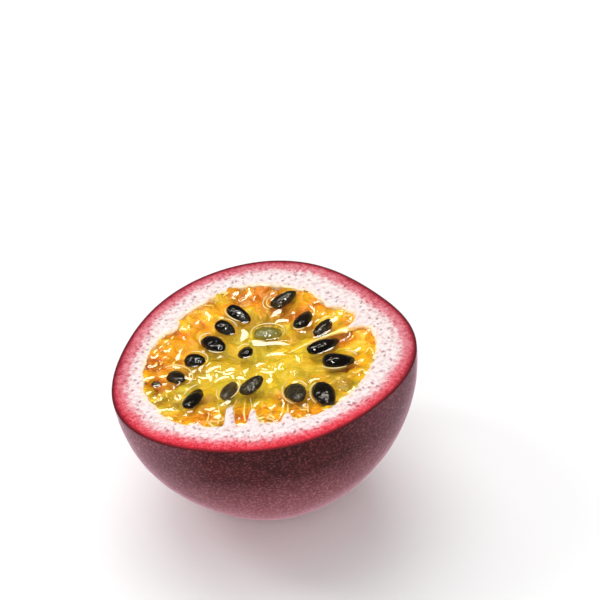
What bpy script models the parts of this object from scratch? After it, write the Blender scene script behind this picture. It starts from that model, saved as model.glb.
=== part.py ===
"""Half a purple passion fruit, cut across its middle, with the pulp still in it.

The half is modelled in the fruit's own frame: the cut lies in the plane z = 0, its middle is the origin, and the
round end points down. It is then tipped a little, as it leans when it lies, and set down on a small flat spot.
The centre of that spot is the part's origin.
"""

import math

import bmesh
import bpy
from mathutils import Matrix, Vector

MM = 0.001

# The fruit
RIM_RADIUS = 25.0 * MM  # mean radius at the cut, the fruit's widest girth
HALF_DEPTH = 29.5 * MM  # from the cut to the end of the round side
CAVITY_SHARE = 0.75  # mean radius of the hollow over RIM_RADIUS, at the cut
BOTTOM_PEEL = 6.0 * MM  # thickness of the peel under the hollow
CAVITY_DEPTH = HALF_DEPTH - BOTTOM_PEEL

# How it lies
TIP = math.radians(7.5)  # the cut faces up and a little towards -X
SPOT_RADIUS = 4.0 * MM  # of the flat spot that it rests on

# The pulp
PULP_GAP = 0.3 * MM  # clearance between the pulp and the peel
PULP_DROP = 0.7 * MM  # how far its edge lies below the cut
BASIN_DEPTH = 0.9 * MM  # further sinking towards the middle, where the juice stands
SAC_HEIGHT = 1.5 * MM  # how far a sac swells out of the pulp
SAC_MARGIN = 1.1 * MM  # jelly round a seed

# Unevenness of a girth, as (waves round the girth, share of the radius, angle of a crest in degrees). The three
# waves are the fruit's three carpels.
RIM_WAVES = ((2, 0.010, 20.0), (3, 0.038, -22.0), (4, 0.009, 7.0), (5, 0.011, -4.5))
CAVITY_WAVES = ((1, 0.033, -169.0), (2, 0.030, -4.0), (3, 0.052, -24.5), (4, 0.019, 16.5), (5, 0.020, 14.0))

# Sacs of jelly at the surface: the middle (x, y) on the cut, the seed's length and width, all in mm, and the
# direction of its long axis in degrees.
SACS = (
    (-3.9, 11.2, 6.0, 3.1, -47),
    (-6.3, 8.2, 4.6, 3.1, -48),
    (-8.0, 4.0, 6.0, 3.3, -50),
    (-11.2, 0.3, 4.4, 3.2, -20),
    (-14.2, -3.7, 4.5, 3.0, -45),
    (-11.2, -9.8, 5.8, 3.1, 63),
    (-5.1, -8.7, 5.0, 3.0, 71),
    (-1.4, -8.0, 5.0, 3.4, 53),
    (5.7, -11.0, 4.9, 3.6, -75),
    (10.2, -12.1, 5.9, 3.5, -75),
    (12.8, -3.6, 5.4, 3.7, 3),
    (10.3, 0.6, 5.8, 3.0, 27),
    (10.6, 5.4, 4.5, 2.9, 55),
    (7.2, 8.0, 5.3, 3.2, 66),
    (3.7, 13.9, 5.1, 2.8, 31),
    (1.2, 5.7, 4.8, 3.3, -10),
)

# How finely the forms are divided
SEGMENTS = 84  # round a girth
OUTER_RINGS = 15  # from the rim to the round end
INNER_RINGS = 9  # from the rim to the bottom of the hollow
PULP_WALL_RINGS = 7
PULP_TOP_RINGS = 13
SHARP_ANGLE = math.radians(40)

PEEL_COLOUR = (0.17, 0.035, 0.05, 1.0)
PULP_COLOUR = (0.75, 0.42, 0.05, 1.0)


def remove_everything():
    for thing in list(bpy.data.objects):
        bpy.data.objects.remove(thing)


def waviness(angle, waves):
    """The share by which an uneven girth differs from a circle at this angle."""
    return sum(size * math.cos(count * (angle - math.radians(crest))) for count, size, crest in waves)


def girth(radius, z, waves, evenness):
    """One ring of points round the fruit's axis. Evenness 0 gives the full waves, and 1 a circle."""
    points = []
    for k in range(SEGMENTS):
        angle = math.tau * k / SEGMENTS
        r = radius * (1 + (1 - evenness) * waviness(angle, waves))
        points.append(Vector((r * math.cos(angle), r * math.sin(angle), z)))
    return points


def bowl(radius, depth, waves, count, start=0.0):
    """Rings of a half ellipsoid from the depth start down to the ring before its pole, whose waves fade downwards."""
    first = math.asin(start / depth)
    rings = []
    for k in range(count):
        turn = first + (math.pi / 2 - first) * k / count
        rings.append(girth(radius * math.cos(turn), -depth * math.sin(turn), waves, math.sin(turn) ** 2))
    return rings


def add_band(bm, upper, lower):
    """Joins two rings of vertices with quads that face away from the axis when upper is above lower."""
    for k in range(SEGMENTS):
        following = (k + 1) % SEGMENTS
        bm.faces.new((upper[k], lower[k], lower[following], upper[following]))


def add_cap(bm, ring, centre, facing_down):
    """Closes a ring with a fan of triangles round a centre point."""
    middle = bm.verts.new(centre)
    for k in range(SEGMENTS):
        ends = (ring[k], ring[(k + 1) % SEGMENTS])
        bm.faces.new((middle, *(reversed(ends) if facing_down else ends)))


def loft(top_centre, rings, bottom_centre):
    """A closed body through rings that run from its inner or upper pole, over the rim, to its lower pole."""
    bm = bmesh.new()
    loops = [[bm.verts.new(point) for point in ring] for ring in rings]
    for upper, lower in zip(loops, loops[1:]):
        add_band(bm, upper, lower)
    add_cap(bm, loops[0], top_centre, facing_down=False)
    add_cap(bm, loops[-1], bottom_centre, facing_down=True)
    return bm


def peel_form():
    """The bowl of purple skin and white pith, with the hollow that the pulp fills."""
    outer = bowl(RIM_RADIUS, HALF_DEPTH, RIM_WAVES, OUTER_RINGS)
    inner = bowl(RIM_RADIUS * CAVITY_SHARE, CAVITY_DEPTH, CAVITY_WAVES, INNER_RINGS)
    return loft(Vector((0, 0, -CAVITY_DEPTH)), inner[::-1] + outer, Vector((0, 0, -HALF_DEPTH)))


def sac_swelling(x, y):
    """How far the sacs lift the pulp's surface above its resting level at (x, y)."""
    highest = 0.0
    for sac_x, sac_y, length, width, turn in SACS:
        along = math.radians(turn)
        dx, dy = x - sac_x * MM, y - sac_y * MM
        u = (dx * math.cos(along) + dy * math.sin(along)) / (length * MM / 2 + SAC_MARGIN)
        v = (dy * math.cos(along) - dx * math.sin(along)) / (width * MM / 2 + SAC_MARGIN)
        highest = max(highest, 1 - u * u - v * v)
    return SAC_HEIGHT * math.sqrt(highest)


def surface_ring(edge, share):
    """A ring of the pulp's upper surface, at this share of the way from its middle to its edge."""
    ring = []
    for point in edge:
        x, y = point.x * share, point.y * share
        level = -PULP_DROP - BASIN_DEPTH * (1 - share * share)
        ring.append(Vector((x, y, level + sac_swelling(x, y) * (1 - share**8))))
    return ring


def pulp_form():
    """The filling of juice sacs, up to a lumpy surface just under the cut."""
    radius = RIM_RADIUS * CAVITY_SHARE - PULP_GAP
    wall = bowl(radius, CAVITY_DEPTH - PULP_GAP, CAVITY_WAVES, PULP_WALL_RINGS, start=PULP_DROP)
    shares = [k / PULP_TOP_RINGS for k in range(1, PULP_TOP_RINGS)]
    surface = [surface_ring(wall[0], share) for share in shares]
    middle = Vector((0, 0, -PULP_DROP - BASIN_DEPTH + sac_swelling(0, 0)))
    return loft(middle, surface + wall, Vector((0, 0, PULP_GAP - CAVITY_DEPTH)))


def lowest_point_when_tipped():
    """Where the round end, as a tipped half ellipsoid, meets the ground, in the fruit's frame."""
    across, down = -math.sin(TIP), -math.cos(TIP)
    reach = math.hypot(RIM_RADIUS * across, HALF_DEPTH * down)
    return Vector((RIM_RADIUS**2 * across, 0, HALF_DEPTH**2 * down)) / reach


def placing():
    """From the fruit's frame to the part's, with the centre of the flat spot at the origin."""
    tipping = Matrix.Rotation(-TIP, 4, "Y")
    lowest = tipping @ lowest_point_when_tipped()
    end_radius = RIM_RADIUS**2 / HALF_DEPTH  # radius of curvature of the round end
    flattened = SPOT_RADIUS**2 / (2 * end_radius)
    return Matrix.Translation(-lowest - Vector((0, 0, flattened))) @ tipping


def flatten_foot(bm):
    """Cuts off what is below the ground, which leaves the flat spot."""
    whole = bm.verts[:] + bm.edges[:] + bm.faces[:]
    cut = bmesh.ops.bisect_plane(bm, geom=whole, plane_co=(0, 0, 0), plane_no=(0, 0, 1), clear_inner=True)
    edges = [e for e in cut["geom_cut"] if isinstance(e, bmesh.types.BMEdge)]
    bmesh.ops.contextual_create(bm, geom=edges)


def mark_sharp_edges(bm):
    """Shades the form smooth except over its real edges: those of the cut and of the flat spot."""
    for face in bm.faces:
        face.smooth = True
    for edge in bm.edges:
        on_ground = all(abs(vert.co.z) < 0.001 * MM for vert in edge.verts)
        edge.smooth = not on_ground and edge.calc_face_angle() < SHARP_ANGLE


def add_object(name, bm, colour, roughness):
    """Turns a form into a named, smoothly shaded object with its own material."""
    bmesh.ops.recalc_face_normals(bm, faces=bm.faces[:])
    mark_sharp_edges(bm)
    mesh = bpy.data.meshes.new(name)
    bm.to_mesh(mesh)
    bm.free()
    material = bpy.data.materials.new(name)
    material.use_nodes = True
    shader = material.node_tree.nodes["Principled BSDF"]
    shader.inputs["Base Color"].default_value = colour
    shader.inputs["Roughness"].default_value = roughness
    mesh.materials.append(material)
    thing = bpy.data.objects.new(name, mesh)
    bpy.context.scene.collection.objects.link(thing)
    return thing


def main():
    remove_everything()
    place = placing()
    peel, pulp = peel_form(), pulp_form()
    for form in (peel, pulp):
        bmesh.ops.transform(form, matrix=place, verts=form.verts)
    flatten_foot(peel)
    add_object("peel", peel, PEEL_COLOUR, roughness=0.45)
    add_object("pulp", pulp, PULP_COLOUR, roughness=0.1)


main()
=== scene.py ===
"""Looks of half a purple passion fruit: speckled skin, red layer and white pith at the cut, and wet pulp with seeds.

Forms are made in the fruit's own frame, as in the part's source: the cut is the plane z = 0, its middle the origin,
and the round end points down. PLACE then tips each piece and sets it on the ground. Sizes are in millimetres, and
piece_from_mesh turns them into metres.
"""

import math
import random

import bpy
import numpy as np
from mathutils import Matrix, Vector, noise


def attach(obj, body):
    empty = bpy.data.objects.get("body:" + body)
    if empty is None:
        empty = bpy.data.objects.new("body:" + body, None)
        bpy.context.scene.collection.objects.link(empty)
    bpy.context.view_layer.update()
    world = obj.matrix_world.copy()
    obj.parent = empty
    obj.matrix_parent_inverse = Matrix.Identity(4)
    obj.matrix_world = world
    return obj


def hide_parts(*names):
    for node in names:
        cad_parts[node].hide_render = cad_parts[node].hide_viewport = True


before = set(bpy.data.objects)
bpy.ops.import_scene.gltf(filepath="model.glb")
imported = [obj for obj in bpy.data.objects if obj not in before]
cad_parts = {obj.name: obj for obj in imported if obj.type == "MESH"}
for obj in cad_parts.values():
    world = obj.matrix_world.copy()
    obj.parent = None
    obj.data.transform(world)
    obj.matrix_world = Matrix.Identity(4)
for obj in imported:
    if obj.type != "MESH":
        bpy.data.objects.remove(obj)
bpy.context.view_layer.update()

MM = 0.001

# The fruit, as in the part's source
RIM_RADIUS = 25.0
HALF_DEPTH = 29.5
CAVITY_SHARE = 0.75
BOTTOM_PEEL = 6.0
CAVITY_DEPTH = HALF_DEPTH - BOTTOM_PEEL
TIP = math.radians(7.5)
SPOT_RADIUS = 4.0
RIM_WAVES = ((2, 0.010, 20.0), (3, 0.038, -22.0), (4, 0.009, 7.0), (5, 0.011, -4.5))
CAVITY_WAVES = ((1, 0.033, -169.0), (2, 0.030, -4.0), (3, 0.052, -24.5), (4, 0.019, 16.5), (5, 0.020, 14.0))

# Dips where the sacs lie lower, darkened there with painted shade, as (x, y, radius, share)
PAINTED_SHADE_DIPS = (
    (13.5, -8.6, 3.0, 1.0), (8.0, -5.0, 2.4, 0.5), (-15.0, -8.4, 2.6, 0.8), (-9.0, -7.4, 1.8, 0.7),
    (1.0, 11.4, 3.0, 0.9), (2.5, 16.8, 2.4, 0.8), (-3.6, 16.6, 2.4, 0.7), (-18.0, 1.6, 1.8, 0.9),
    (14.4, 6.8, 1.4, 0.6), (5.0, 12.4, 1.8, 0.8), (5.0, 6.0, 2.2, 0.5), (-5.0, 2.6, 2.0, 0.2),
    (-12.6, -1.6, 1.6, 0.7), (2.4, -9.0, 1.8, 0.6), (-4.6, -11.8, 1.6, 0.7), (14.0, 2.6, 1.6, 0.5),
    (-17.6, -5.4, 1.2, 0.7), (-9.6, -11.9, 1.6, 0.6),
)

# Tongues of pith that reach into the pulp at the cut, as (angle in degrees, half width in degrees, reach, bluntness)
TONGUES = (
    (146, 5.0, 1.3, 2.4), (122, 4.0, 0.3, 2.4), (90, 14.0, 0.5, 2.4), (62, 5.0, -0.5, 2.4),
    (44, 5.0, 0.8, 2.4), (20, 5.0, 1.5, 2.4), (18.5, 2.4, 1.6, 2.4), (-76.4, 2.6, 2.0, 3.0),
    (-94.8, 2.2, 3.0, 3.5), (-95.0, 4.2, 0.7, 2.4), (-107.2, 2.4, 4.7, 7.0), (-106.4, 4.0, 0.7, 2.4),
    (-124, 2.2, 0.8, 2.4), (-150, 5.0, 0.5, 2.4), (-172, 4.0, 0.3, 2.4),
)

# Fibres at the front, which run from the pith into the pulp, as (x, y of both ends, thickness, bow)
FIBRES = (
    (-7.2, -16.2, -7.3, -10.6, 0.20, 0.25), (-2.7, -16.2, -2.7, -11.0, 0.20, -0.20),
    (-5.2, -12.6, -4.0, -9.8, 0.15, 0.20), (-1.6, -13.4, -1.9, -10.2, 0.15, 0.10),
    (2.9, -16.4, 3.6, -12.4, 0.16, 0.20), (4.4, -14.9, 4.4, -12.6, 0.15, -0.10),
    (7.6, -15.8, 7.4, -13.2, 0.17, 0.15), (-9.0, -15.2, -8.8, -12.6, 0.14, 0.15),
)

# Cracks in the pith at the front, as (x, y of both ends, half width)
CRACKS = ((-6.1, -17.7, -4.6, -18.7, 0.16), (-4.0, -17.3, -2.9, -17.5, 0.20))

# Glints, where a fold of the jelly's skin faces the lamp: the middle (x, y), length, width, direction of the long
# axis in degrees, and how far its ends bend back
GLINTS = (
    (-3.0, 6.6, 3.0, 1.5, 84, -0.6), (2.2, 3.5, 6.0, 1.15, -7, 0.35), (-0.3, 3.9, 3.0, 1.7, -20, 0.0),
    (3.6, 9.0, 2.8, 1.1, -3, 0.3), (2.6, 0.5, 4.0, 0.80, -5, 0.4), (-8.3, -1.6, 2.6, 0.9, 38, 0.3),
    (-6.7, -4.3, 3.0, 0.7, 28, 0.4), (-5.2, -2.2, 1.9, 1.1, 10, 0.3), (-3.4, -4.7, 2.0, 0.9, -20, 0.3),
    (-2.6, -3.0, 1.6, 0.7, 60, 0.3), (1.0, -3.7, 2.8, 0.7, -10, -0.35), (3.2, -2.6, 2.2, 0.6, 75, 0.4),
    (6.1, -1.2, 2.0, 0.7, -70, 0.2), (1.4, -6.2, 1.5, 1.3, 80, 0.1), (-2.4, 17.0, 3.8, 0.9, 64, -0.9),
    (-1.0, 15.8, 2.0, 0.55, 85, 0.1), (2.1, 16.3, 1.2, 0.8, 10, 0.1), (8.9, 11.0, 2.4, 0.6, -60, 0.3),
    (-9.3, 12.5, 3.4, 0.75, -62, 0.9), (-15.6, -11.4, 3.6, 0.9, -6, 0.3), (-11.8, -12.3, 1.4, 0.8, -10, 0.1),
    (-2.6, 2.3, 1.1, 0.8, 20, 0.1), (-7.0, 1.5, 1.2, 0.7, 30, 0.1), (7.1, 5.6, 1.4, 0.8, -10, 0.1),
    (8.8, -7.5, 2.4, 0.8, 8, 0.3), (5.6, -7.4, 1.3, 0.9, 20, 0.1), (13.6, -9.2, 1.3, 0.6, -30, 0.1),
    (-13.6, -8.0, 1.6, 0.6, -70, 0.2), (-16.2, -4.4, 1.2, 0.9, 10, 0.1),
)

# Where the surface is finely creased, as (x, y, spread along x and y, number of creases, their main direction and its
# spread in degrees, and their greatest length)
CREASES = (
    (-6.5, -3.2, 3.0, 1.5, 24, 25, 90, 2.4), (0.5, -3.6, 2.8, 1.3, 15, -10, 90, 2.2),
    (-15.2, 5.2, 1.6, 2.2, 11, 66, 16, 2.8), (-17.0, 0.0, 0.9, 1.6, 6, 70, 20, 2.0),
    (-13.0, 10.0, 1.0, 1.2, 4, 110, 25, 2.0), (-14.6, -7.0, 1.9, 1.6, 9, 105, 30, 2.0),
    (-10.0, -13.0, 2.6, 0.9, 8, -20, 20, 2.0), (1.5, -12.6, 3.4, 1.3, 10, 80, 20, 2.0),
    (8.0, -8.0, 2.6, 1.0, 8, 20, 60, 1.3), (7.5, -14.4, 1.6, 0.8, 4, 60, 20, 2.0),
    (15.8, -0.5, 1.0, 3.2, 8, 75, 22, 2.2), (12.8, -8.0, 1.6, 1.6, 6, 30, 60, 1.2),
    (11.5, 9.0, 1.6, 1.3, 3, -50, 30, 1.2), (3.0, 16.6, 3.0, 0.8, 3, 60, 40, 1.4),
    (3.0, -8.8, 1.2, 1.2, 4, 80, 30, 1.4),
)

# Seeds at the surface: the middle (x, y) on the cut, length, width, direction of the long axis in degrees, how far
# the middle lies under the jelly's level, and how brown and dull the seed is
SEEDS = (
    (-3.7, 12.3, 5.3, 2.6, -47, 0.4, 0.0), (-6.1, 9.2, 4.1, 2.6, -48, 0.5, 0.0),
    (-8.0, 5.1, 5.5, 3.2, -50, 0.4, 0.0), (-11.2, 1.4, 3.8, 2.9, -20, 0.5, 0.0),
    (-14.2, -2.6, 3.9, 2.7, -48, 0.6, 0.2), (-17.6, -4.0, 1.8, 1.4, -30, 0.5, 0.4),
    (-11.3, -8.7, 5.9, 2.8, 69, 0.4, 0.0), (-5.4, -7.4, 4.9, 2.5, 71, 0.7, 0.9),
    (-1.6, -6.7, 4.8, 3.3, 46, 0.4, 0.8), (5.7, -10.2, 5.7, 3.5, -75, 0.4, 0.8),
    (10.4, -11.5, 6.1, 3.7, -75, 0.3, 0.1), (13.0, -3.1, 5.6, 3.8, 3, 0.4, 0.0),
    (10.5, 1.4, 6.0, 3.1, 27, 0.4, 0.0), (10.6, 6.1, 4.5, 2.5, 55, 0.5, 0.3),
    (7.3, 8.9, 5.3, 2.8, 66, 0.4, 0.1), (4.0, 15.0, 5.1, 2.8, 31, 0.5, 0.3),
    (-2.6, 2.2, 2.9, 2.6, 80, 0.50, 0.0),
)
PALE_SEED = (1.2, 6.5, 4.8, 3.3, -10, 0.7)  # as in SEEDS, without the last

# Pale edges of sacs beside the seeds, partly the sacs' torn edges and partly a painted highlight: the seed's number
# in
# SEEDS (17 is the pale seed), the middle of the arc as seen from the seed and how far round it goes, both in degrees,
# and its distance from the seed
SAC_RIM_HIGHLIGHTS = (
    (0, 215, 90, 0.40), (1, 40, 80, 0.40), (2, 140, 110, 0.30), (2, 265, 60, 0.35),
    (3, 35, 130, 0.40), (4, 35, 190, 1.10), (6, 120, 70, 0.40), (7, -10, 120, 0.45),
    (7, 200, 60, 0.60), (9, 185, 140, 0.40), (9, 50, 50, 0.45), (10, 170, 110, 0.40),
    (11, 250, 90, 0.35), (11, 40, 60, 0.30), (13, 80, 60, 0.40), (14, 255, 70, 0.25),
    (15, 195, 90, 0.60), (15, 190, 80, 1.25), (16, 110, 90, 0.20), (17, 75, 210, 0.50),
)

# Places where the pulp is more orange, or where it is greener, as (x, y, radius, shift of its tone)
TONES = (
    (-3.2, 17.4, 1.2, 0.15), (1.5, 16.8, 2.6, 0.08), (-5.5, 16.4, 2.2, -0.08), (6.2, 11.6, 1.8, 0.45),
    (6.6, 14.6, 1.8, -0.25), (-9.0, 14.2, 2.4, -0.24), (-13.0, 10.6, 1.8, -0.12), (-10.6, 12.0, 1.1, 0.32),
    (-16.5, 5.5, 2.4, -0.04), (-18.3, 2.0, 2.0, 0.32), (-13.6, 2.6, 1.8, 0.02), (14.6, 3.4, 1.8, 0.30),
    (16.4, -1.2, 3.2, -0.22), (17.2, 3.6, 2.2, -0.20), (12.4, 9.2, 2.6, -0.24), (-15.0, -8.0, 3.2, -0.50),
    (14.0, -9.0, 3.4, -0.55), (-3.2, -14.2, 1.1, 0.90), (0.8, -14.6, 1.6, 0.20), (3.0, -9.4, 1.6, 0.25),
    (6.2, -14.2, 1.5, 0.28), (-9.0, -12.8, 2.2, 0.20),
)


def waviness(angle, waves):
    return sum(size * np.cos(count * (angle - math.radians(crest))) for count, size, crest in waves)


def smooth_step(low, high, value):
    t = np.clip((value - low) / (high - low), 0, 1)
    return t * t * (3 - 2 * t)


def noise_at(points, size, seed=0.0):
    """Smooth noise from -1 to 1 at each point, with features of about this size."""
    shift = Vector((seed * 17.3, seed * 5.9, seed * 11.7))
    return np.array([noise.noise(Vector(p) / size + shift) for p in points])


def turns(count):
    return np.arange(count) * math.tau / count


def degrees_off(angle, middle):
    """How far an angle in radians is from a middle in degrees, in degrees from -180 to 180."""
    return (np.degrees(angle) - middle + 180.0) % 360.0 - 180.0


def turned(x, y, degrees):
    """A step in the plane of the cut, turned anticlockwise."""
    turn = math.radians(degrees)
    return x * math.cos(turn) - y * math.sin(turn), x * math.sin(turn) + y * math.cos(turn)


def bells(points, spots):
    """The sum at each point of soft round spots, each given as (x, y, radius, height)."""
    total = np.zeros(len(points))
    for x, y, radius, height in spots:
        total += height * np.exp(-((points[:, 0] - x) ** 2 + (points[:, 1] - y) ** 2) / radius**2)
    return total


TONGUE_FADE = 3.5  # how deep under the cut the tongues fade to a third
FRONT = -95.0  # the middle of the front, in degrees
FRONT_SPREAD = 26.0


def tongue_reach(angle):
    """How far the pith's tongues carry its inner edge into the pulp at the cut."""
    reach = 0.0
    for middle, half_width, height, bluntness in TONGUES:
        reach = reach + height * np.exp(-(np.abs(degrees_off(angle, middle) / half_width) ** bluntness))
    return reach


def hollow_radius(angle, depth=0.0):
    """Radius of the hollow at this depth under the cut, without the tongues."""
    s = depth / CAVITY_DEPTH
    round_share = math.sqrt(max(0.0, 1 - s * s))
    wavy = 1 + (1 - s * s) * waviness(angle, CAVITY_WAVES)
    return RIM_RADIUS * CAVITY_SHARE * round_share * wavy


def cavity_radius(angle, depth=0.0):
    """Radius of the hollow at this depth under the cut, between the tongues."""
    return hollow_radius(angle, depth) - tongue_reach(angle) * math.exp(-depth / TONGUE_FADE)


def straightness(angle):
    """1 at the front, where the tongues reach straight back and not towards the middle, and 0 elsewhere."""
    return np.exp(-((degrees_off(angle, FRONT) / FRONT_SPREAD) ** 6))


def straightened(angle, radius, z, depth=0.0):
    """A ring of points whose tongues at the front reach straight back."""
    points = ring_points(radius, angle, z)
    inside = np.clip(hollow_radius(angle, depth) - radius, 0, None)
    points[:, 0] += inside * straightness(angle) * np.cos(angle)
    return points


def unstraightened(x, y):
    """The angle and radius that straightened() turns into about this place at the cut."""
    angle, radius = np.arctan2(y, x), np.hypot(x, y)
    for _ in range(3):
        inside = np.clip(hollow_radius(angle) - radius, 0, None)
        back = radius / (radius + inside * straightness(angle) + 1e-6)
        angle, radius = np.arctan2(y, x * back), np.hypot(x * back, y)
    return angle, radius


def outer_radius(angle, depth=0.0):
    s = depth / HALF_DEPTH
    round_share = math.sqrt(max(0.0, 1 - s * s))
    return RIM_RADIUS * round_share * (1 + (1 - s * s) * waviness(angle, RIM_WAVES))


def placing():
    """From the fruit's frame in metres to the part's, as in the part's source."""
    tipping = Matrix.Rotation(-TIP, 4, "Y")
    across, down = -math.sin(TIP), -math.cos(TIP)
    reach = math.hypot(RIM_RADIUS * across, HALF_DEPTH * down)
    lowest = tipping @ (Vector((RIM_RADIUS**2 * across, 0, HALF_DEPTH**2 * down)) / reach)
    pressed = SPOT_RADIUS**2 / (2 * RIM_RADIUS**2 / HALF_DEPTH)
    return Matrix.Translation((-lowest - Vector((0, 0, pressed))) * MM) @ tipping


PLACE = placing()

# The setting, in metres
RIM_CENTRE = PLACE @ Vector((0, 0, 0))
CAMERA_DISTANCE = 0.466
CAMERA_ELEVATION = math.radians(39.3)
CAMERA_PLACE = RIM_CENTRE + CAMERA_DISTANCE * Vector((0, -math.cos(CAMERA_ELEVATION), math.sin(CAMERA_ELEVATION)))
FOCAL_LENGTH = 167.5
ASIDE = 0.0182  # radians that the camera looks to the right of the fruit
ABOVE = 0.0197  # radians that it looks above it
LAMP_PLACE = Vector((-0.05, 0.16, 0.44))
WORLD_LIGHT = 0.45
WORLD_DIMMING = 0.37  # taken off where the world is mirrored
FLOOR_REACH = 1.5


# Meshes


def ring_points(radius, angle, z):
    return np.stack([radius * np.cos(angle), radius * np.sin(angle), np.broadcast_to(z, angle.shape)], axis=1)


def loft(rings):
    """Points and faces of a closed form through rings of equal length, the upper ones first."""
    count = len(rings[0])
    base = (len(rings) - 1) * count
    k = np.arange(count)
    following = (k + 1) % count
    faces = []
    for upper in range(0, base, count):
        lower = upper + count
        faces += np.stack([upper + k, lower + k, lower + following, upper + following], axis=1).tolist()
    points = np.vstack([*rings, rings[0].mean(axis=0), rings[-1].mean(axis=0)])
    sides = list(zip(k.tolist(), following.tolist()))
    faces += [(len(points) - 2, a, b) for a, b in sides]
    faces += [(len(points) - 1, base + b, base + a) for a, b in sides]
    return points, faces


def merged(parts):
    """One form from parts of (points, faces, amount), with each part's amount stored per point."""
    all_points, all_faces, amounts = [], [], []
    for points, faces, value in parts:
        start = len(amounts)
        all_points.append(points)
        all_faces += [tuple(start + v for v in face) for face in faces]
        amounts += [value] * len(points)
    return np.concatenate(all_points), all_faces, amounts


def split(points, count):
    """The rings of this many points that the points are made of."""
    return [points[k:k + count] for k in range(0, len(points), count)]


def add_object(name, data):
    thing = bpy.data.objects.new(name, data)
    bpy.context.scene.collection.objects.link(thing)
    return thing


def piece_from_mesh(name, points, faces, materials, slots=None, amounts=None):
    """A smooth piece of the fruit from points in mm in the fruit's frame, with its amounts stored per point.

    What would reach below the ground is pressed up to it, which gives the flat spot.
    """
    place = np.array(PLACE)
    placed = np.asarray(points) * MM @ place[:3, :3].T + place[:3, 3]
    placed[:, 2] = np.maximum(placed[:, 2], 0)
    mesh = bpy.data.meshes.new(name)
    mesh.from_pydata(placed.tolist(), [], faces)
    for material in materials:
        mesh.materials.append(material)
    if slots is not None:
        mesh.polygons.foreach_set("material_index", np.asarray(slots, dtype=np.int32))
    for key, values in (amounts or {}).items():
        attribute = mesh.attributes.new(key, "FLOAT", "POINT")
        attribute.data.foreach_set("value", np.asarray(values, dtype=np.float32))
    mesh.shade_smooth()
    mesh.update()
    thing = add_object(name, mesh)
    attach(thing, "root")
    return thing


# Material helpers

STREAK_GIRTH = 15.0  # radius of the circle that the noise for streaks is read round
STREAK_STRETCH = 0.35  # how fast it changes outwards, as a share of how fast it changes round
RED_DEPTH = 4.4  # depth under the skin at which the red has fully turned to white


class Graph:
    """A tree of shader nodes, with short ways to add to it."""

    def __init__(self, tree):
        self.tree = tree
        self.shader = tree.nodes.get("Principled BSDF")

    def add(self, kind, inputs=None, **settings):
        """A shader node with its settings, and its inputs set to values or linked to sockets."""
        made = self.tree.nodes.new("ShaderNode" + kind)
        for key, value in settings.items():
            setattr(made, key, value)
        for key, value in (inputs or {}).items():
            self.put(made.inputs[key], value)
        return made

    def put(self, socket, value):
        if isinstance(value, bpy.types.NodeSocket):
            self.tree.links.new(value, socket)
        else:
            socket.default_value = value

    def maths(self, operation, first, second=0.0):
        return self.add("Math", {0: first, 1: second}, operation=operation).outputs[0]

    def plus(self, first, second):
        return self.maths("ADD", first, second)

    def minus(self, first, second):
        return self.maths("SUBTRACT", first, second)

    def times(self, first, second):
        return self.maths("MULTIPLY", first, second)

    def centred(self, value, reach):
        """A value from 0 to 1 turned into one from -reach / 2 to reach / 2."""
        return self.times(self.minus(value, 0.5), reach)

    def blend(self, factor, first, second, kind="MIX"):
        made = self.add("Mix", {0: factor, 6: first, 7: second}, data_type="RGBA", blend_type=kind)
        return made.outputs[2]

    def layer(self, under, share, strength, colour, kind="MIX"):
        """A colour laid over another one where the share is 1, with this strength."""
        return self.blend(self.times(share, strength), under, colour, kind)

    def ramp(self, factor, stops):
        """A colour ramp through stops of (position, colour)."""
        made = self.add("ValToRGB", {"Fac": factor})
        band = made.color_ramp
        while len(band.elements) < len(stops):
            band.elements.new(1.0)
        for element, (position, colour) in zip(band.elements, stops):
            element.position = position
            element.color = (*colour, 1.0)
        return made.outputs["Color"]

    def rise(self, factor, low, high):
        """From 0 at low to 1 at high."""
        return self.add("MapRange", {"Value": factor, "From Min": low, "From Max": high}).outputs["Result"]

    def between(self, share, low, high):
        """From low where the share is 0 to high where it is 1."""
        return self.add("MapRange", {"Value": share, "To Min": low, "To Max": high}).outputs["Result"]

    def millimetres(self):
        """The place on the surface in the fruit's frame, in mm."""
        back = PLACE.inverted()
        inputs = {"Vector": self.add("TexCoord").outputs["Object"], "Location": back.translation / MM,
                  "Rotation": back.to_euler(), "Scale": (1 / MM, 1 / MM, 1 / MM)}
        return self.add("Mapping", inputs).outputs[0]

    def noise(self, place, size, detail=3.0, roughness=0.5, distortion=0.0):
        inputs = {"Vector": place, "Scale": 1 / size, "Detail": detail, "Roughness": roughness}
        return self.add("TexNoise", {**inputs, "Distortion": distortion}).outputs["Fac"]

    def cells(self, place, scale):
        """Round cells, as sockets: each cell's own colour, and the distance from its middle."""
        return self.add("TexVoronoi", {"Vector": place, "Scale": scale}).outputs

    def axes(self, place):
        return self.add("SeparateXYZ", {"Vector": place}).outputs

    def flattened(self, place):
        """The place moved up or down into the plane of the cut."""
        axes = self.axes(place)
        return self.add("CombineXYZ", {"X": axes["X"], "Y": axes["Y"]}).outputs[0]

    def streak_places(self, flat, outwards):
        """Places for noise that runs in streaks from the fruit's middle outwards, given how far out each place is."""
        around = self.add("VectorMath", {0: flat}, operation="NORMALIZE").outputs[0]
        wide = self.add("VectorMath", {0: around, "Scale": STREAK_GIRTH}, operation="SCALE").outputs[0]
        lift = self.add("CombineXYZ", {"Z": self.times(outwards, STREAK_STRETCH)}).outputs[0]
        return self.add("VectorMath", {0: wide, 1: lift}, operation="ADD").outputs[0]

    def amount(self, name):
        return self.add("Attribute", attribute_name=name).outputs["Fac"]

    def bump(self, height, distance, strength):
        inputs = {"Height": height, "Distance": distance * MM, "Strength": strength}
        return self.add("Bump", inputs).outputs["Normal"]

    def set_shader(self, **values):
        for key, value in values.items():
            self.put(self.shader.inputs[key.replace("_", " ")], value)


def new_material(name):
    material = bpy.data.materials.new(name)
    material.use_nodes = True
    return material, Graph(material.node_tree)


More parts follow.
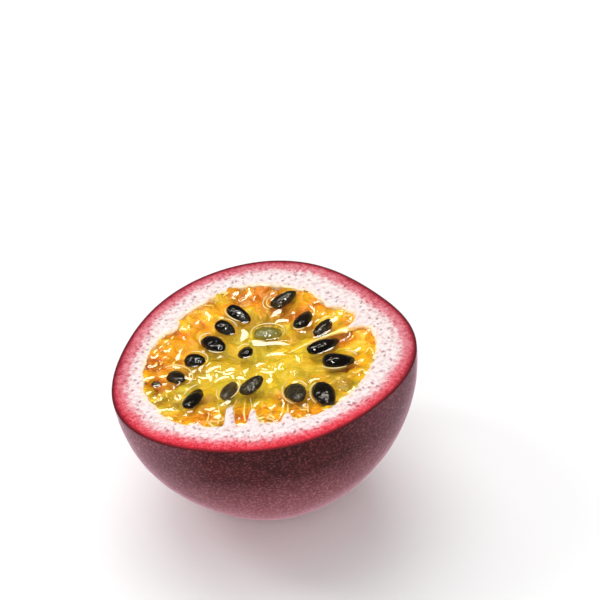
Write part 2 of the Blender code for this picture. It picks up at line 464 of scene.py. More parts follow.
# Materials


def skin_material():
    """Dark maroon skin, finely and densely speckled, with painted light making it pinker and lighter low down and at
    the sides.
    """
    material, g = new_material("skin")
    place = g.millimetres()
    axes = g.axes(place)
    speck = g.noise(place, 0.34, detail=1.0)
    fine = g.cells(place, 2.3)["Distance"]
    specks = g.times(g.rise(fine, 0.60, 0.24), g.rise(speck, 0.36, 0.56))
    pore_dots = g.rise(g.cells(place, 0.85)["Distance"], 0.30, 0.12)
    patches = g.noise(place, 8.0)
    high = g.ramp(patches, ((0.35, (0.026, 0.002, 0.003)), (0.65, (0.046, 0.003, 0.005))))
    high_light = g.ramp(patches, ((0.35, (0.16, 0.036, 0.038)), (0.65, (0.20, 0.048, 0.050))))
    # Painted light of the floor's bounce: the skin is lighter and pinker low down
    low = g.rise(g.plus(axes["Z"], g.times(patches, 5.0)), -4.0, -21.0)
    # Painted light at the left and right sides, a little more on the left
    aside = g.times(g.rise(g.maths("ABSOLUTE", g.minus(axes["X"], 2.0)), 11.0, 24.0), 0.5)
    base = g.blend(low, high, (0.37, 0.100, 0.125, 1))
    base = g.blend(aside, base, (0.31, 0.110, 0.150, 1))
    light = g.blend(low, high_light, (0.74, 0.350, 0.410, 1))
    light = g.blend(aside, light, (0.56, 0.280, 0.350, 1))
    coloured = g.layer(base, specks, 0.72, light)
    coloured = g.layer(coloured, pore_dots, 0.35, light)
    relief = g.minus(speck, g.times(pore_dots, 0.4))
    g.set_shader(Base_Color=coloured, Roughness=g.between(speck, 0.42, 0.60), Normal=g.bump(relief, 0.12, 0.6))
    g.set_shader(Specular_IOR_Level=0.12, Sheen_Weight=1.0, Sheen_Roughness=0.22, Sheen_Tint=(1.0, 0.66, 0.80, 1))
    return material


def pith_material():
    """The cut through the peel: a dark line at the skin, the red layer, then spongy white pith with fine vessels."""
    material, g = new_material("pith")
    place = g.millimetres()
    flat = g.flattened(place)
    under_skin, to_pulp = g.amount("under_skin"), g.amount("to_pulp")

    streaks = g.noise(g.streak_places(flat, under_skin), 0.55, roughness=0.7)
    broad = g.noise(flat, 7.0, detail=1.0)
    blotches = g.noise(flat, 0.75, roughness=0.65)
    wander = g.plus(g.plus(g.centred(streaks, 2.1), g.centred(broad, 1.6)), g.centred(blotches, 2.2))
    depth = g.plus(under_skin, g.times(wander, g.rise(under_skin, 0.3, 1.6)))
    share = g.maths("DIVIDE", depth, RED_DEPTH)
    front = g.rise(g.axes(place)["Y"], -2.0, -20.0)
    red_front = g.ramp(share, (
        (0.00, (0.07, 0.003, 0.006)), (0.06, (0.17, 0.004, 0.010)), (0.11, (0.37, 0.007, 0.018)),
        (0.18, (0.66, 0.020, 0.042)), (0.36, (0.80, 0.050, 0.078)), (0.52, (0.80, 0.200, 0.240)),
        (0.68, (0.82, 0.460, 0.480)), (0.88, (0.86, 0.765, 0.760)),
    ))
    red_back = g.ramp(share, (
        (0.00, (0.070, 0.004, 0.009)), (0.07, (0.17, 0.008, 0.020)), (0.13, (0.36, 0.024, 0.046)),
        (0.22, (0.54, 0.080, 0.110)), (0.36, (0.66, 0.180, 0.220)), (0.54, (0.72, 0.270, 0.310)),
        (0.66, (0.78, 0.560, 0.560)), (0.86, (0.84, 0.750, 0.730)),
    ))
    coloured = g.blend(front, red_back, red_front)
    mottle = g.noise(flat, 0.75, roughness=0.6)
    mottled = g.ramp(mottle, ((0.34, (0.84, 0.66, 0.69)), (0.52, (1.0, 1.0, 1.0))))
    coloured = g.blend(0.95, coloured, mottled, "MULTIPLY")
    grains = g.noise(flat, 0.34, detail=2.0)
    in_red = g.times(g.rise(share, 0.12, 0.25), g.rise(share, 0.75, 0.5))
    light_grain, dark_grain = g.rise(grains, 0.54, 0.66), g.rise(grains, 0.44, 0.34)
    coloured = g.layer(coloured, light_grain, g.times(in_red, 0.26), (0.88, 0.42, 0.46, 1))
    coloured = g.layer(coloured, dark_grain, g.times(in_red, 0.40), (0.40, 0.020, 0.045, 1))
    pale = g.blend(g.rise(blotches, 0.52, 0.68), (0, 0, 0, 1), (1, 1, 1, 1))
    blotched = g.blend(pale, coloured, (0.88, 0.81, 0.79, 1))
    coloured = g.layer(coloured, g.rise(share, 0.55, 0.8), 0.5, blotched)

    wobble = g.add("TexNoise", {"Vector": flat, "Scale": 1.3, "Detail": 1.0}).outputs["Color"]
    wobbly = g.add("VectorMath", {0: flat, 1: wobble}, operation="ADD").outputs[0]
    vessels = g.cells(wobbly, 0.98)
    dots = g.rise(vessels["Distance"], 0.36, 0.20)
    picked = g.rise(g.add("SeparateColor", {"Color": vessels["Color"]}).outputs[0], 0.05, 0.35)
    in_pith = g.times(g.rise(under_skin, 0.9, 2.0), g.rise(to_pulp, 0.1, 0.7))
    dots = g.times(g.times(dots, picked), in_pith)
    dot_colour = g.blend(g.rise(share, 0.6, 0.9), (0.42, 0.03, 0.05, 1), (0.34, 0.11, 0.13, 1))
    coloured = g.layer(coloured, dots, 0.7, dot_colour)

    juicy = g.rise(g.plus(to_pulp, g.times(mottle, 1.6)), 1.80, 0.70)
    coloured = g.layer(coloured, juicy, 0.50, (0.94, 0.74, 0.34, 1))
    coloured = g.layer(coloured, g.amount("crack"), 0.8, (0.55, 0.30, 0.16, 1))
    relief = g.minus(g.plus(mottle, g.times(streaks, 0.5)), g.times(dots, 0.4))
    g.set_shader(Base_Color=coloured, Normal=g.bump(relief, 0.10, 0.5))
    g.set_shader(Roughness=0.5, Specular_IOR_Level=0.08, Subsurface_Weight=0.2,
                 Subsurface_Radius=(1.0, 0.5, 0.4), Subsurface_Scale=0.5 * MM)
    return material


def flesh_material():
    """The juice sacs under the jelly: greenish yellow in the middle, yellow and orange round the edge."""
    material, g = new_material("juice_sacs")
    place = g.millimetres()
    fine = g.noise(place, 0.7, detail=4.0, roughness=0.7, distortion=1.0)
    flat = g.flattened(place)
    far = g.add("VectorMath", {0: flat}, operation="LENGTH").outputs["Value"]
    streaks = g.noise(g.streak_places(flat, far), 0.5, roughness=0.65, distortion=0.8)
    tone = g.plus(g.plus(g.amount("tone"), g.centred(fine, 0.5)), g.centred(streaks, 0.5))
    coloured = g.ramp(tone, (
        (0.00, (0.49, 0.44, 0.032)), (0.22, (0.72, 0.56, 0.024)), (0.42, (0.80, 0.46, 0.012)),
        (0.64, (0.74, 0.27, 0.007)), (1.00, (0.58, 0.08, 0.003)),
    ))
    # Painted shade in the gaps between the sacs, darker and more orange
    gap = g.times(g.amount("gap"), g.rise(fine, 0.35, 0.6))
    coloured = g.layer(coloured, gap, 0.85, (0.80, 0.50, 0.30, 1), "MULTIPLY")
    # Painted shade: darker and browner in the dips
    coloured = g.blend(g.amount("deep"), coloured, (0.56, 0.44, 0.26, 1), "MULTIPLY")
    coloured = g.layer(coloured, g.rise(streaks, 0.56, 0.68), 0.7, (0.94, 0.66, 0.10, 1))
    flecks = g.noise(place, 0.55, roughness=0.65, distortion=0.8)
    outer = g.rise(g.amount("tone"), 0.15, 0.35)
    pale = g.times(g.rise(flecks, 0.54, 0.64), outer)
    coloured = g.layer(coloured, pale, 0.5, (0.95, 0.72, 0.12, 1))
    dark = g.times(g.rise(flecks, 0.46, 0.36), outer)
    coloured = g.layer(coloured, dark, 0.5, (0.74, 0.26, 0.010, 1))
    coloured = g.blend(outer, coloured, (0.85, 0.78, 0.36, 1), "MULTIPLY")
    g.set_shader(Base_Color=coloured, Normal=g.bump(fine, 0.25, 0.7))
    g.set_shader(Roughness=0.18, Specular_IOR_Level=0.25, Subsurface_Weight=0.5,
                 Subsurface_Radius=(1.0, 0.6, 0.10), Subsurface_Scale=0.7 * MM, Coat_Weight=0.3, Coat_Roughness=0.05)
    return material


def jelly_material():
    """Clear yellow jelly. Lamps shine through it, so that what lies in it is lit."""
    material, g = new_material("jelly")
    ripple = g.noise(g.millimetres(), 0.8, roughness=0.6)
    g.set_shader(Base_Color=(1.0, 0.97, 0.88, 1), Roughness=0.03, IOR=1.37, Transmission_Weight=1.0,
                 Normal=g.bump(ripple, 0.03, 0.6), Coat_Weight=0.6, Coat_IOR=1.6, Coat_Roughness=0.10)
    clear = g.add("BsdfTransparent", {"Color": (1.0, 0.95, 0.80, 1)})
    path = g.add("LightPath")
    either = g.add("MixShader", {0: path.outputs["Is Shadow Ray"], 1: g.shader.outputs[0], 2: clear.outputs[0]})
    output = g.tree.nodes["Material Output"]
    g.put(output.inputs["Surface"], either.outputs[0])
    absorb = g.add("VolumeAbsorption", {"Color": (0.98, 0.80, 0.16, 1), "Density": 115.0})
    g.put(output.inputs["Volume"], absorb.outputs[0])
    return material


def seed_material():
    """Black, glossy, finely pitted seed coat, brown and duller on some seeds."""
    material, g = new_material("seeds")
    brown = g.amount("brown")
    grain = g.noise(g.millimetres(), 0.5, roughness=0.6)
    black = g.ramp(grain, ((0.35, (0.002, 0.0012, 0.0008)), (0.70, (0.007, 0.0045, 0.002))))
    hazy = g.ramp(grain, ((0.35, (0.016, 0.011, 0.004)), (0.70, (0.080, 0.058, 0.020))))
    coloured = g.blend(brown, black, hazy)
    gloss = g.between(brown, 0.03, 0.32)
    g.set_shader(Base_Color=coloured, Roughness=gloss, Specular_IOR_Level=0.4, Normal=g.bump(grain, 0.05, 0.6))
    return material


def pale_seed_material():
    """Cloudy olive, and a little see-through."""
    material, g = new_material("pale_seed")
    cloud = g.noise(g.millimetres(), 1.4)
    coloured = g.ramp(cloud, ((0.3, (0.15, 0.13, 0.012)), (0.7, (0.23, 0.20, 0.028))))
    g.set_shader(Base_Color=coloured, Roughness=0.15, Subsurface_Weight=0.6,
                 Subsurface_Radius=(1.0, 0.8, 0.2), Subsurface_Scale=0.8 * MM, Coat_Weight=0.2, Coat_Roughness=0.04)
    return material


def strand_material():
    """Wet golden fibres, which turn cream where the amount pale is high."""
    material, g = new_material("strands")
    cloud = g.noise(g.millimetres(), 1.6, detail=2.0)
    golden = g.ramp(cloud, ((0.35, (0.90, 0.52, 0.06)), (0.65, (0.93, 0.68, 0.18))))
    cream = g.ramp(cloud, ((0.35, (0.93, 0.70, 0.24)), (0.65, (0.95, 0.84, 0.50))))
    coloured = g.blend(g.amount("pale"), golden, cream)
    g.set_shader(Base_Color=coloured, Roughness=0.2, Subsurface_Weight=0.5,
                 Subsurface_Radius=(1.0, 0.7, 0.3), Subsurface_Scale=0.6 * MM, Coat_Weight=0.7, Coat_Roughness=0.05)
    return material


# The peel

PEEL_SEGMENTS = 720
SKIN_RINGS = 72
CUT_RINGS = 26
WALL_RINGS = 16
EDGE_ROUND = 0.09  # radius of the edge between the cut and the skin
LIP_ROUND = 0.35  # radius of the edge between the cut and the hollow
TIP_SINKING = 0.02  # of a tongue, per mm squared
LEVEL_REACH = 1.5  # how far into the pulp a tongue stays level


def skin_rings(angle):
    """Rings of the skin from the rim down to the round end, with slight dents."""
    rings = []
    for k in range(SKIN_RINGS):
        turn = math.pi / 2 * (k / SKIN_RINGS) ** 0.97
        depth = EDGE_ROUND + (HALF_DEPTH - EDGE_ROUND) * math.sin(turn)
        rings.append(ring_points(outer_radius(angle, depth), angle, -depth))
    points = np.concatenate(rings)
    out = points / np.linalg.norm(points, axis=1, keepdims=True)
    dents = 0.16 * noise_at(points, 11.0, 1) + 0.05 * noise_at(points, 3.5, 2) + 0.012 * noise_at(points, 0.9, 3)
    fade = smooth_step(0.0, 2.0, -points[:, 2]) * 0.8 + 0.2
    points = points + out * (dents * fade)[:, None]
    return split(points, len(angle))


def crack_share(points):
    """1 in the middle of a crack in the pith, and 0 away from it."""
    share = np.zeros(len(points))
    for first_x, first_y, last_x, last_y, half_width in CRACKS:
        start, ahead = np.array((first_x, first_y)), np.array((last_x - first_x, last_y - first_y))
        t = np.clip((points[:, :2] - start) @ ahead / (ahead @ ahead), 0, 1)
        far = np.linalg.norm(points[:, :2] - start - t[:, None] * ahead, axis=1)
        share = np.maximum(share, np.exp(-((far / half_width) ** 2)) * (1 - 0.5 * t))
    return share


def sinking(angle, radius):
    """How far the cut sinks where a tongue reaches into the pulp: the more, the nearer to its tip."""
    inside = np.clip(hollow_radius(angle) - radius, 0, None)
    return TIP_SINKING * np.clip(inside - LEVEL_REACH, 0, None) ** 2


def cut_rings(angle, rim, lip):
    """Rings over the cut from its inner lip out to the skin, slightly uneven, as the knife leaves it."""
    rings = []
    steps = np.linspace(1.0, 0.0, CUT_RINGS)
    for s in steps:
        radius = rim + (lip - rim) * s
        rings.append(straightened(angle, radius, -sinking(angle, radius)))
    points = np.concatenate(rings)
    share = np.repeat(steps, len(angle))
    swell = 0.10 * np.sin(math.pi * share).clip(0) ** 0.7
    grain = 0.07 * noise_at(points, 2.2, 4) + 0.035 * noise_at(points, 0.7, 5)
    fade = np.minimum(1, np.minimum(share, 1 - share) * 8)
    points[:, 2] += swell + grain * fade - 0.2 * crack_share(points)
    return split(points, len(angle))


def peel_piece():
    angle = turns(PEEL_SEGMENTS)
    skin = skin_rings(angle)
    rim = np.hypot(skin[0][:, 0], skin[0][:, 1]) - EDGE_ROUND
    girth = ring_points(19.0, angle, 0.0)
    edge = cavity_radius(angle) + 0.34 * noise_at(girth, 1.9, 6) + 0.20 * noise_at(girth, 0.7, 7)
    cut = cut_rings(angle, rim, edge + LIP_ROUND)
    corner = []
    for turn in np.radians((60, 30)):
        corner.append(ring_points(rim + EDGE_ROUND * np.cos(turn), angle, -EDGE_ROUND * (1 - np.sin(turn))))
    lip = []
    for turn in np.radians((15, 35, 60, 90)):
        radius = edge + LIP_ROUND * (1 - np.sin(turn))
        lip.append(straightened(angle, radius, -LIP_ROUND * (1 - np.cos(turn)) - sinking(angle, radius)))
    wall = []
    for k in range(1, WALL_RINGS):
        depth = LIP_ROUND + (CAVITY_DEPTH - LIP_ROUND) * math.sin(math.pi / 2 * (k / WALL_RINGS) ** 1.4)
        wall.append(straightened(angle, cavity_radius(angle, depth), -depth, depth))
    inner = wall[::-1] + lip[::-1] + cut + corner
    points, faces = loft(inner + skin)
    # The material of each row of faces: 1 is the pith and 0 the skin. The last two rows close the ends.
    rows = [1] * len(inner) + [0] * (len(skin) - 1) + [1, 0]
    slots = np.repeat(rows, PEEL_SEGMENTS)
    turn, radius = unstraightened(points[:, 0], points[:, 1])
    under_skin = np.maximum(0, outer_radius(turn) - radius)
    to_pulp = np.maximum(0, radius - cavity_radius(turn))
    deep = smooth_step(0.5, 3.0, -points[:, 2])
    crack = crack_share(points) * smooth_step(-1.0, -0.8, points[:, 2])
    amounts = {"under_skin": under_skin, "to_pulp": to_pulp * (1 - deep), "crack": crack}
    piece = piece_from_mesh("peel_skin_and_pith", points, faces, [skin_material(), pith_material()], slots, amounts)
    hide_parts("peel")


# The pulp

FLESH_SEGMENTS = 440
FLESH_RINGS = 104
JELLY_SEGMENTS = 600
JELLY_RINGS = 150
JELLY_REACH = 0.55  # how far its edge reaches into the peel
JELLY_LEVEL = -0.30
JELLY_BASIN = 0.40
FLESH_REACH = 0.40
FLESH_EDGE = -2.3
FLESH_MIDDLE = -4.4
GLINT_SLOPE_X = -0.06  # the slopes, along X and Y, of a fold that mirrors the strip lamp behind the fruit
GLINT_SLOPE_Y = 0.265
GLINT_TURN = 0.0028  # how much more the slopes are per mm along X and Y
TONE_STRENGTH = 0.9
FURROW_GIRTH = 13.0  # as STREAK_GIRTH, for the sacs' own form
FURROW_STRETCH = 3.0


def disc(reach, segments, rings):
    """Points over the hollow's mouth, with each point's share of the way from the middle to the wall."""
    angle = turns(segments)
    edge = hollow_radius(angle, 0.9) + reach
    shares = np.linspace(0, 1, rings + 1)[1:] ** 0.85
    girths = [ring_points(edge * share, angle, 0.0) for share in shares]
    return np.concatenate(girths), np.repeat(shares, segments), angle


def ellipse_share(x, y, sac, margin):
    """0 at the middle of a sac or seed and 1 on its outline, widened by the margin."""
    u, v = turned(x - sac[0], y - sac[1], -sac[4])
    return np.hypot(u / (sac[2] / 2 + margin), v / (sac[3] / 2 + margin))


def filler_sacs():
    """Juice sacs whose seeds are hidden, between the seeds and along the wall, pointing inwards from it."""
    pick = random.Random(21)
    placed = [(s[0], s[1]) for s in SEEDS]
    sacs = []
    for _ in range(2600):
        turn = pick.uniform(0, math.tau)
        reach = math.sqrt(pick.random()) * cavity_radius(turn)
        x, y = reach * math.cos(turn), reach * math.sin(turn)
        near_wall = reach > 0.72 * RIM_RADIUS * CAVITY_SHARE
        room = 1.9 if near_wall else 2.7
        if all(math.hypot(x - a, y - b) > room for a, b in placed):
            placed.append((x, y))
            length = pick.uniform(3.2, 4.8)
            width = pick.uniform(2.0, 3.0)
            direction = math.degrees(turn) + pick.uniform(-35, 35)
            sacs.append((x, y, length, width, direction, pick.uniform(-0.5, 0.5), pick.random()))
    return sacs


def jelly_level(share):
    """The jelly's level at this share of the way to the wall, which it climbs a little."""
    climb = 0.25 * np.exp(-(1 - share) / 0.03)
    return JELLY_LEVEL - JELLY_BASIN * (1 - share**2) + climb


def level_at(x, y):
    """The jelly's level at one place, away from the wall."""
    share = min(1.0, math.hypot(x, y) / (RIM_RADIUS * CAVITY_SHARE))
    return JELLY_LEVEL - JELLY_BASIN * (1 - share * share)


def warped(points, size, reach, seed):
    """The points' x and y, pushed about by noise, so that forms laid out with them become irregular."""
    x = points[:, 0] + reach * noise_at(points, size, seed)
    y = points[:, 1] + reach * noise_at(points, size, seed + 0.5)
    return x, y


def stroke_share(x, y, stroke):
    """1 inside a curved stroke that narrows to its ends, and 0 outside it."""
    middle_x, middle_y, length, width, direction, bend = stroke
    along, across = turned(x - middle_x, y - middle_y, -direction)
    u = along / (length / 2)
    v = across + bend * (u * u - 0.4)
    half_width = width / 2 * np.sqrt(np.clip(1 - u * u, 1e-6, 1))
    return smooth_step(1.5, 0.6, np.abs(v) / half_width) * smooth_step(1.0, 0.9, np.abs(u))


def creases():
    """Short curved strokes, scattered where the surface is finely creased."""
    pick = random.Random(33)
    strokes = []
    for x, y, spread_x, spread_y, count, direction, swing, longest in CREASES:
        for _ in range(count):
            place = (pick.gauss(x, spread_x), pick.gauss(y, spread_y))
            length = longest * pick.uniform(0.4, 1.0)
            size = (length, length * pick.uniform(0.18, 0.40))
            bend = length * pick.uniform(-0.35, 0.35)
            strokes.append((*place, *size, direction + pick.uniform(-swing, swing), bend))
    return strokes


def jelly_height(points, share, fillers):
    """The jelly's wet surface: level, swollen over the sacs, drawn up round the seeds, creased and rippled."""
    x, y = warped(points, 2.4, 0.45, 31)
    level = jelly_level(share)
    outer = smooth_step(0.35, 0.75, share)
    swell = np.zeros_like(x)
    for sac in fillers:
        q = ellipse_share(x, y, sac, 0.5)
        swell = np.maximum(swell, 0.32 * np.clip(1 - q * q, 0, 1))
    swell = swell * (0.25 + 0.75 * outer)
    x, y = points[:, 0], points[:, 1]
    for seed in SEEDS + (PALE_SEED,):
        q = ellipse_share(x, y, seed, 1.3)
        swell = np.maximum(swell, 0.25 * np.clip(1 - q * q, 0, 1) ** 1.8)
        drawn = ellipse_share(x, y, seed, 0.05)
        swell = swell + 0.06 * np.exp(-(np.clip(drawn - 1, 0, None) / 0.2) ** 2)
    waves = 0.14 * noise_at(points, 3.0, 7) + 0.05 * noise_at(points, 1.5, 8)
    ridges = 0.16 * (0.4 - np.abs(noise_at(points, 1.7, 9))) * smooth_step(0.70, 0.88, share)
    still = smooth_step(1.0, 0.95, share) * 0.8 + 0.2
    height = level + (swell + waves + ridges) * still
    turn, radius = unstraightened(x, y)
    under_pith = smooth_step(-0.5, 0.3, radius - cavity_radius(turn)) * smooth_step(0.5, 1.2, tongue_reach(turn))
    height = height - 0.7 * under_pith
    for stroke in creases() + list(GLINTS):
        middle = np.argmin(np.hypot(x - stroke[0], y - stroke[1]))
        slope_x, slope_y = GLINT_SLOPE_X + GLINT_TURN * stroke[0], GLINT_SLOPE_Y + GLINT_TURN * stroke[1]
        facet = height[middle] + slope_x * (x - stroke[0]) + slope_y * (y - stroke[1])
        inside = stroke_share(x, y, stroke)
        height = height * (1 - inside) + facet * inside
    return height


def radial(points):
    """Places for noise that runs in streaks from the middle outwards."""
    turn = np.arctan2(points[:, 1], points[:, 0])
    return ring_points(FURROW_GIRTH, turn, np.hypot(points[:, 0], points[:, 1]) / FURROW_STRETCH)


def flesh_height(points, share, fillers):
    """The juice sacs' own surface, and its tone from 0, greenish yellow, to 1, deep orange, with the gaps and dips
    that get painted shade.
    """
    x, y = warped(points, 1.9, 0.8, 41)
    floor = FLESH_MIDDLE + (FLESH_EDGE - FLESH_MIDDLE) * share**2 + 0.7 * smooth_step(0.88, 1.0, share)
    height = np.zeros_like(x)
    tint = np.zeros_like(x)
    for sac in fillers:
        q = ellipse_share(x, y, sac, 0.4)
        dome = (1.5 + sac[5]) * np.clip(1 - q * q, 0, 1) ** 0.7
        tint = np.where(dome > height, sac[6], tint)
        height = np.maximum(height, dome)
    # The dips lower the sacs and carry painted shade to the material
    deep = bells(points, PAINTED_SHADE_DIPS)
    outer = smooth_step(0.40, 0.85, share)
    # gap: where the sacs are low between their domes, which the material darkens with painted shade
    gap = (1 - np.clip(height / 1.3, 0, 1)) * outer
    streaks = noise_at(radial(points), 1.0, 14)
    tone = 0.10 + 0.34 * smooth_step(0.42, 0.88, share) + 0.20 * (tint - 0.5)
    tone = tone + 0.16 * gap + 0.16 * streaks * outer + 0.12 * noise_at(points, 3.2, 12)
    tone = tone + TONE_STRENGTH * bells(points, TONES)
    rough = 0.12 * noise_at(points, 0.9, 10) + 0.06 * noise_at(points, 0.4, 11) + 0.3 * streaks * outer
    height = height * (0.45 + 0.55 * outer) - 0.5 * deep
    return floor + height + rough, np.clip(tone, 0, 1), gap, np.clip(deep, 0, 1)


def close_below(top_rings, angle, reach, bottom):
    """Rings that carry a surface's edge down the wall of the hollow and close it at the bottom."""
    rings = []
    for depth in np.linspace(1.6, bottom, 6):
        rings.append(ring_points(hollow_radius(angle, depth) + reach, angle, -depth))
    return top_rings + rings


def flesh_piece(fillers):
    points, share, angle = disc(FLESH_REACH, FLESH_SEGMENTS, FLESH_RINGS)
    points[:, 2], tone, gap, deep = flesh_height(points, share, fillers)
    rings = close_below(split(points, FLESH_SEGMENTS), angle, 0.1, CAVITY_DEPTH - 1.5)
    points, faces = loft(rings)
    below = len(points) - len(tone)
    # gap and deep carry the painted shade of the gaps between sacs and of the dips to the material
    amounts = {"tone": np.pad(tone, (0, below), constant_values=0.6), "gap": np.pad(gap, (0, below)),
               "deep": np.pad(deep, (0, below))}
    piece = piece_from_mesh("juice_sacs", points, faces, [flesh_material()], amounts=amounts)
    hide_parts("pulp")


def jelly_piece(fillers):
    points, share, angle = disc(JELLY_REACH, JELLY_SEGMENTS, JELLY_RINGS)
    points[:, 2] = jelly_height(points, share, fillers)
    rings = close_below(split(points, JELLY_SEGMENTS), angle, 0.06, 9.0)
    points, faces = loft(rings)
    piece = piece_from_mesh("jelly", points, faces, [jelly_material()])


# Seeds

SEED_AROUND = 72
SEED_ALONG = 42
SEED_FLATNESS = 0.68  # thickness over width
PIT_SIZE = 0.60
PIT_DEPTH = 0.17


def seed_form(length, width, pick):
    """A flat drop-shaped seed along X, pointed at +X, with a pitted coat."""
    rows = []
    for i in range(1, SEED_ALONG):
        lean = math.pi * i / SEED_ALONG
        along = math.cos(lean)
        taper = math.sin(lean) ** 0.85 * (1 - 0.16 * along - 0.08 * along**3)
        turn = turns(SEED_AROUND)
        y = width / 2 * taper * np.cos(turn)
        z = width / 2 * SEED_FLATNESS * taper * np.sin(turn) * (1 - 0.12 * np.cos(turn) ** 2)
        x = np.full_like(turn, length / 2 * along)
        rows.append(np.stack([x, y, z], axis=1))
    points, faces = loft(rows)
    out = points / (np.linalg.norm(points, axis=1, keepdims=True) + 1e-6)
    shift = Vector((pick.uniform(-50, 50), pick.uniform(-50, 50), pick.uniform(-50, 50)))
    pits = np.array([noise.voronoi(Vector(p) / PIT_SIZE + shift)[0][0] for p in points])
    return points - out * (PIT_DEPTH * np.clip(1 - pits * 2.0, 0, 1))[:, None], faces


def rotation(degrees, axis):
    """A turn about an axis, as a 3 x 3 matrix."""
    return Matrix.Rotation(math.radians(degrees), 3, axis)


def seeds_piece():
    pick = random.Random(5)
    parts = []
    for x, y, length, width, direction, sunk, dull in SEEDS:
        points, faces = seed_form(length, width, pick)
        share = math.hypot(x, y) / cavity_radius(math.atan2(y, x))
        z = jelly_level(share) + 0.20 - sunk
        lean, roll = pick.uniform(-14, 14), pick.uniform(-20, 20)
        spin = np.array(rotation(direction, "Z") @ rotation(lean, "Y") @ rotation(roll, "X"))
        parts.append((points @ spin.T + np.array([x, y, z]), faces, dull))
    points, faces, brown = merged(parts)
    piece = piece_from_mesh("seeds", points, faces, [seed_material()], amounts={"brown": brown})


def pale_seed_piece():
    pick = random.Random(6)
    x, y, length, width, direction, sunk = PALE_SEED
    points, faces = seed_form(length, width, pick)
    spin = np.array(rotation(direction, "Z"))
    level = JELLY_LEVEL - JELLY_BASIN * 0.9
    points = points @ spin.T + np.array([x, y, level - sunk + 0.3])
    piece = piece_from_mesh("unripe_seed", points, faces, [pale_seed_material()])


# Strands


def tube(path, radii, sides=8):
    """A round strand along a path of points, with a radius at each."""
    rings = []
    path = np.asarray(path, dtype=float)
    ahead = np.gradient(path, axis=0)
    turn = turns(sides)
    for point, direction, radius in zip(path, ahead, radii):
        direction = direction / np.linalg.norm(direction)
        side = np.cross(direction, (0, 0, 1.0))
        side = side / np.linalg.norm(side)
        up = np.cross(side, direction)
        rings.append(point + radius * (np.cos(turn)[:, None] * side + np.sin(turn)[:, None] * up))
    return loft(rings)


def strand_paths():
    """Fibres that run from the pith into the pulp, most of them at the front."""
    pick = random.Random(11)
    paths = []
    for k in range(16):
        turn = math.radians(pick.uniform(-140, 120))
        wall = cavity_radius(turn)
        start = wall + pick.uniform(-1.2, 0.3)
        length = pick.uniform(0.8, 2.2)
        bend = pick.uniform(-0.3, 0.3)
        z = JELLY_LEVEL + pick.uniform(-0.5, 0.25)
        path = []
        for t in np.linspace(0, 1, 9):
            r = start - length * t
            a = turn + bend * t * length / wall + 0.03 * math.sin(6 * t + k)
            path.append((r * math.cos(a), r * math.sin(a), z + 0.15 * math.sin(math.pi * t) - 0.35 * t))
        thick = pick.uniform(0.10, 0.22)
        radii = [thick * (0.45 + 0.6 * math.sin(math.pi * min(1, t + 0.15))) for t in np.linspace(0, 0.9, 9)]
        paths.append((path, radii))
    for first_x, first_y, last_x, last_y, thick, bow in FIBRES:
        path, radii = [], []
        across_x, across_y = last_y - first_y, first_x - last_x
        length = math.hypot(across_x, across_y)
        for t in np.linspace(0, 1, 13):
            aside = bow * math.sin(math.pi * t) / length
            x = first_x + (last_x - first_x) * t + across_x * aside
            y = first_y + (last_y - first_y) * t + across_y * aside
            path.append((x, y, level_at(x, y) + 0.06 * math.sin(9 * t + thick * 40)))
            radii.append(thick * (1 - 0.75 * t) + 0.03 * math.sin(14 * t + bow * 20))
        paths.append((path, radii))
    return paths


def fold_paths():
    """Pale folds of the sacs' skins, sunk in the jelly's surface where it is creased."""
    pick = random.Random(17)
    paths = []
    for x, y, spread_x, spread_y, count, direction, swing, longest in CREASES:
        for _ in range(count // 3):
            middle = (pick.gauss(x, spread_x), pick.gauss(y, spread_y))
            degrees = direction + pick.uniform(-swing, swing) * 0.7
            half = longest / 2 * pick.uniform(0.35, 0.75)
            bend, thick = pick.uniform(-0.25, 0.25), pick.uniform(0.13, 0.24)
            z = level_at(*middle) + pick.uniform(-0.45, 0.0)
            path, radii = [], []
            for t in np.linspace(-1, 1, 9):
                u, v = turned(half * t, bend * t * t, degrees)
                path.append((middle[0] + u, middle[1] + v, z))
                radii.append(thick * (0.1 + 0.9 * (1 - t * t)))
            wall = hollow_radius(math.atan2(middle[1], middle[0]))
            if 0.6 * wall < math.hypot(*middle) < wall - half:
                paths.append((path, radii))
    return paths


def stalk_path():
    """The long stalk that runs from the pith on the right to the middle, wide at the wall and thin at its end."""
    bends = np.array((  # x, y, z and radius
        (17.4, 6.1, -1.70, 1.20), (15.0, 5.3, -1.10, 0.80), (12.0, 4.2, -0.90, 0.45), (8.2, 2.6, -0.82, 0.26),
        (4.6, 0.8, -1.00, 0.10),
    ))
    t = np.linspace(0, len(bends) - 1, 30)
    points = np.stack([np.interp(t, range(len(bends)), column) for column in bends.T], axis=1)
    return points[:, :3], points[:, 3]


def rim_highlight_paths():
    """The torn edges of the sacs, pale partly as a painted highlight: a thin arc beside each seed, on the side that
    its table entry gives.
    """
    paths = []
    for number, middle, sweep, margin in SAC_RIM_HIGHLIGHTS:
        x, y, length, width, direction = (SEEDS + (PALE_SEED,))[number][:5]
        path, radii = [], []
        for t in np.linspace(-1, 1, 17):
            turn = math.radians(middle - direction + sweep / 2 * t)
            along, across = (length / 2 + margin) * math.cos(turn), (width / 2 + margin) * math.sin(turn)
            u, v = turned(along, across, direction)
            path.append((x + u, y + v, level_at(x + u, y + v) + 0.30))
            radii.append(0.035 + 0.075 * math.sqrt(max(0.0, 1 - t * t)))
        paths.append((path, radii))
    return paths


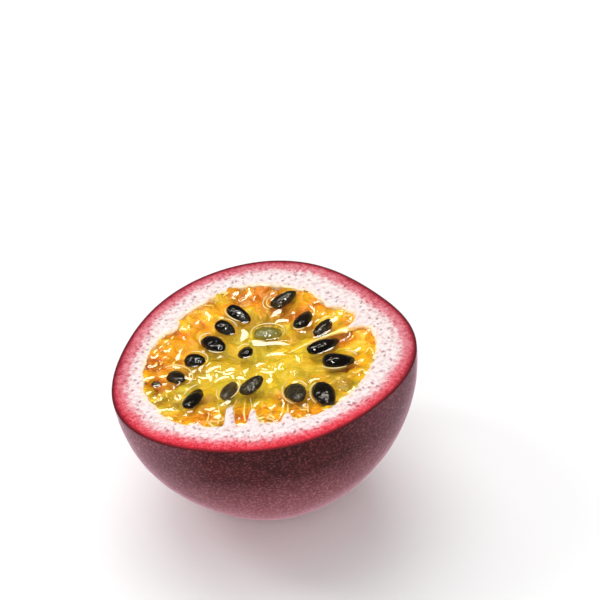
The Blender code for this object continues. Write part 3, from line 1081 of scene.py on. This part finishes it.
def strands_piece():
    parts = []
    # The rims' full cream paleness is partly painted highlight
    for paths, paleness in ((strand_paths(), 0.5), (fold_paths(), 0.2), (rim_highlight_paths(), 1.0), ([stalk_path()], 0.3)):
        parts += [(*tube(path, radii), paleness) for path, radii in paths]
    points, faces, pale = merged(parts)
    piece = piece_from_mesh("strands", points, faces, [strand_material()], amounts={"pale": pale})


# Setting


def add_camera():
    """A long lens from the front and above. The fruit sits a little left of and below the middle of the picture."""
    data = bpy.data.cameras.new("camera")
    data.lens = FOCAL_LENGTH
    data.sensor_width = 36
    camera = add_object("camera", data)
    camera.location = CAMERA_PLACE
    camera.rotation_euler = (math.pi / 2 - CAMERA_ELEVATION + ABOVE, 0, -ASIDE)
    bpy.context.scene.camera = camera


def add_light(name, place, target, size, power, mirrored=True, spreads=True, colour=(1, 1, 1)):
    data = bpy.data.lights.new(name, "AREA")
    data.shape = "RECTANGLE"
    data.color = colour
    data.size, data.size_y = size
    data.energy = power
    light = add_object(name, data)
    light.location = place
    light.visible_glossy = mirrored
    light.visible_diffuse = spreads
    aim = Vector(target) - Vector(place)
    light.rotation_euler = aim.to_track_quat("-Z", "Y").to_euler()


def add_setting():
    world = bpy.data.worlds.new("studio")
    bpy.context.scene.world = world
    world.use_nodes = True
    g = Graph(world.node_tree)
    background = g.tree.nodes["Background"]
    background.inputs["Color"].default_value = (1, 1, 1, 1)
    path = g.add("LightPath")
    dimmed = g.times(path.outputs["Is Glossy Ray"], WORLD_DIMMING)
    g.put(background.inputs["Strength"], g.minus(WORLD_LIGHT, dimmed))
    add_light("strip", LAMP_PLACE, (0, 0, 0.03), (0.36, 0.085), 1.35, spreads=False, colour=(1, 0.95, 0.82))
    add_light("sky", (-0.15, 0.45, 1.10), (0, 0, 0.02), (1.0, 1.0), 8.0, mirrored=False)
    add_light("side", (-0.34, 0.08, 0.32), (0, 0, 0.03), (0.07, 0.20), 0.45)
    add_light("spark", (-0.06, -0.14, 0.50), (0, 0, 0.03), (0.10, 0.10), 2.2, spreads=False)
    add_light("fill", (-0.10, -0.95, 0.48), (0, 0, 0.02), (0.9, 0.9), 5.1, mirrored=False)
    mesh = bpy.data.meshes.new("floor")
    corners = [(x * FLOOR_REACH, y * FLOOR_REACH, 0) for x, y in ((-1, -1), (1, -1), (1, 1), (-1, 1))]
    mesh.from_pydata(corners, [], [(0, 1, 2, 3)])
    material, g = new_material("floor")
    g.set_shader(Base_Color=(0.96, 0.96, 0.96, 1), Roughness=0.7)
    mesh.materials.append(material)
    floor = add_object("floor", mesh)
    bpy.context.scene.view_settings.view_transform = "Standard"


def main():
    add_camera()
    add_setting()
    fillers = filler_sacs()
    peel_piece()
    flesh_piece(fillers)
    jelly_piece(fillers)
    seeds_piece()
    pale_seed_piece()
    strands_piece()


main()
